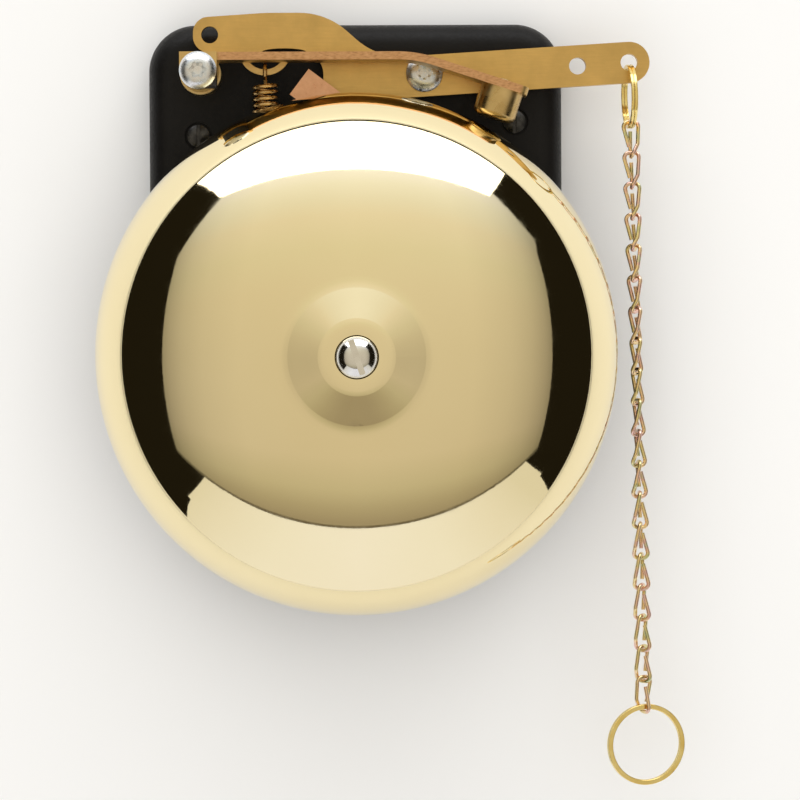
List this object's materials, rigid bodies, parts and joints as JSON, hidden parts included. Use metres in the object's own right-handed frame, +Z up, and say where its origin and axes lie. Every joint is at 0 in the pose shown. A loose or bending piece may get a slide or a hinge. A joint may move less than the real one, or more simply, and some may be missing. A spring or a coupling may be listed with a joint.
{
  "type": "manual fire alarm bell",
  "caption": "Wall-mounted manual alarm bell: polished brass gong on a black case, with a sprung hammer arm, a pull lever, a jack chain and a grip ring.",
  "frame": {"origin": "where the gong's axis meets the wall, on the back plate's back face", "axes": "+Z up, +X to the right seen from the front, -Y out from the wall towards the room"},
  "size_m": [0.1734, 0.0815, 0.2291],
  "materials": {
    "polished_brass": "mirror polish",
    "satin_brass": "satin",
    "turned_brass": "turned",
    "copper": "rolled strip",
    "bronze_wire": "drawn wire",
    "nickel": "nickel plate",
    "zinc": "bright zinc plate",
    "zinc_yellow": "yellow zinc plate",
    "gilt_wire": "bright plate",
    "plated_steel": "zinc plate",
    "black_paint": "textured black paint",
    "black_steel": "blackened steel",
    "rubber": "matt"
  },
  "bodies": {
    "bell": {"back_plate": "plated_steel", "plate_bushes": "plated_steel", "case": "black_paint", "case_screws": "black_steel", "gong_post": "plated_steel", "post_washer": "plated_steel", "post_nut": "plated_steel", "gong_washer": "rubber", "gong": "polished_brass", "gong_screw": "nickel", "lever_bush": "turned_brass", "lever_pivot_screw": "zinc", "lever_pivot_nut": "plated_steel", "hammer_bush": "turned_brass", "hammer_pivot_screw": "zinc", "hammer_pivot_nut": "plated_steel", "hammer_stop": "rubber", "stop_pins": "plated_steel", "stop_sleeves": "rubber", "return_spring": "bronze_wire", "spring_stud": "plated_steel"},
    "lever": {"pull_lever": "satin_brass", "lifting_finger": "copper", "finger_rivets": "copper"},
    "hammer": {"hammer_arm": "satin_brass", "hammer_head": "satin_brass"},
    "top_ring": {"chain_ring": "gilt_wire"},
    "link_01": {"chain_link_01": "zinc_yellow"},
    "link_02": {"chain_link_02": "zinc_yellow"},
    "link_03": {"chain_link_03": "zinc_yellow"},
    "link_04": {"chain_link_04": "zinc_yellow"},
    "link_05": {"chain_link_05": "zinc_yellow"},
    "link_06": {"chain_link_06": "zinc_yellow"},
    "link_07": {"chain_link_07": "zinc_yellow"},
    "link_08": {"chain_link_08": "zinc_yellow"},
    "link_09": {"chain_link_09": "zinc_yellow"},
    "link_10": {"chain_link_10": "zinc_yellow"},
    "link_11": {"chain_link_11": "zinc_yellow"},
    "link_12": {"chain_link_12": "zinc_yellow"},
    "link_13": {"chain_link_13": "zinc_yellow"},
    "link_14": {"chain_link_14": "zinc_yellow"},
    "link_15": {"chain_link_15": "zinc_yellow"},
    "link_16": {"chain_link_16": "zinc_yellow"},
    "link_17": {"chain_link_17": "zinc_yellow"},
    "link_18": {"chain_link_18": "zinc_yellow"},
    "link_19": {"chain_link_19": "zinc_yellow"},
    "grip_ring": {"pull_ring": "gilt_wire"}
  },
  "joints": [
    {"name": "lever_pull", "type": "hinge", "parent": "bell", "child": "lever", "pos_m": [0.0203, -0.0195, 0.0824], "axis": [0, 1, 0], "range_deg": [0, 12]},
    {"name": "hammer_lift", "type": "hinge", "parent": "bell", "child": "hammer", "pos_m": [-0.04535, -0.0317, 0.0822], "axis": [0, -1, 0], "range_deg": [0, 9.35], "stiffness_Nm_per_rad": 0.58, "springref_deg": -19.48, "deforming": ["return_spring"]},
    {"name": "ring_plumb", "type": "hinge", "parent": "lever", "child": "top_ring", "pos_m": [0.0807, -0.0195, 0.0855], "axis": [0, 1, 0], "range_deg": [-12.05, 0]},
    {"name": "link_01_swing", "type": "hinge", "parent": "top_ring", "child": "link_01", "pos_m": [0.08114, -0.0195, 0.06671], "axis": [0, 1, 0], "range_deg": [-4.11, 4.11]},
    {"name": "link_02_swing", "type": "hinge", "parent": "link_01", "child": "link_02", "pos_m": [0.08132, -0.0195, 0.05906], "axis": [0.9912, -0.1305, 0.0232], "range_deg": [-4.28, 4.28]},
    {"name": "link_03_swing", "type": "hinge", "parent": "link_02", "child": "link_03", "pos_m": [0.08156, -0.0195, 0.0486], "axis": [-0.1305, -0.9914, -0.0031], "range_deg": [-4.53, 4.53]},
    {"name": "link_04_swing", "type": "hinge", "parent": "link_03", "child": "link_04", "pos_m": [0.08175, -0.0195, 0.04076], "axis": [-0.9236, 0.3827, -0.0216], "range_deg": [-4.74, 4.74]},
    {"name": "link_05_swing", "type": "hinge", "parent": "link_04", "child": "link_05", "pos_m": [0.08199, -0.0195, 0.03031], "axis": [0.3826, 0.9239, 0.0089], "range_deg": [-5.05, 5.05]},
    {"name": "link_06_swing", "type": "hinge", "parent": "link_05", "child": "link_06", "pos_m": [0.08217, -0.0195, 0.02247], "axis": [0.7931, -0.6088, 0.0186], "range_deg": [-5.31, 5.31]},
    {"name": "link_07_swing", "type": "hinge", "parent": "link_06", "child": "link_07", "pos_m": [0.08242, -0.0195, 0.01201], "axis": [-0.6086, -0.7934, -0.0142], "range_deg": [-5.71, 5.71]},
    {"name": "link_08_swing", "type": "hinge", "parent": "link_07", "child": "link_08", "pos_m": [0.0826, -0.0195, 0.00417], "axis": [-0.6086, 0.7934, -0.0142], "range_deg": [-6.05, 6.05]},
    {"name": "link_09_swing", "type": "hinge", "parent": "link_08", "child": "link_09", "pos_m": [0.08285, -0.0195, -0.00628], "axis": [0.7931, 0.6088, 0.0186], "range_deg": [-6.57, 6.57]},
    {"name": "link_10_swing", "type": "hinge", "parent": "link_09", "child": "link_10", "pos_m": [0.08303, -0.0195, -0.01412], "axis": [0.3826, -0.9239, 0.0089], "range_deg": [-7.02, 7.02]},
    {"name": "link_11_swing", "type": "hinge", "parent": "link_10", "child": "link_11", "pos_m": [0.08328, -0.0195, -0.02458], "axis": [-0.9236, -0.3827, -0.0216], "range_deg": [-7.73, 7.73]},
    {"name": "link_12_swing", "type": "hinge", "parent": "link_11", "child": "link_12", "pos_m": [0.08346, -0.0195, -0.03242], "axis": [-0.1305, 0.9914, -0.0031], "range_deg": [-8.36, 8.36]},
    {"name": "link_13_swing", "type": "hinge", "parent": "link_12", "child": "link_13", "pos_m": [0.0837, -0.0195, -0.04287], "axis": [0.9912, 0.1305, 0.0232], "range_deg": [-9.39, 9.39]},
    {"name": "link_14_swing", "type": "hinge", "parent": "link_13", "child": "link_14", "pos_m": [0.08389, -0.0195, -0.05071], "axis": [-0.1305, -0.9914, -0.0031], "range_deg": [-10.35, 10.35]},
    {"name": "link_15_swing", "type": "hinge", "parent": "link_14", "child": "link_15", "pos_m": [0.08413, -0.0195, -0.06117], "axis": [-0.9912, 0.1305, -0.0232], "range_deg": [-11.97, 11.97]},
    {"name": "link_16_swing", "type": "hinge", "parent": "link_15", "child": "link_16", "pos_m": [0.08431, -0.0195, -0.06901], "axis": [0.3826, 0.9239, 0.0089], "range_deg": [-13.57, 13.57]},
    {"name": "link_17_swing", "type": "hinge", "parent": "link_16", "child": "link_17", "pos_m": [0.08456, -0.0195, -0.07946], "axis": [0.9236, -0.3827, 0.0216], "range_deg": [-16.53, 16.53]},
    {"name": "link_18_swing", "type": "hinge", "parent": "link_17", "child": "link_18", "pos_m": [0.08474, -0.0195, -0.0873], "axis": [-0.6086, -0.7934, -0.0142], "range_deg": [-19.78, 19.78]},
    {"name": "link_19_swing", "type": "hinge", "parent": "link_18", "child": "link_19", "pos_m": [0.08499, -0.0195, -0.09776], "axis": [-0.7931, 0.6088, -0.0186], "range_deg": [-13, 13]},
    {"name": "grip_swing", "type": "hinge", "parent": "link_19", "child": "grip_ring", "pos_m": [0.0852, -0.0195, -0.10691], "axis": [0.4847, -0.8746, 0.0113], "range_deg": [-8, 8]}
  ],
  "couplings": [
    {"joint": "hammer_lift", "follows": "lever_pull", "ratio": 0.775},
    {"joint": "ring_plumb", "follows": "lever_pull", "ratio": -1}
  ]
}
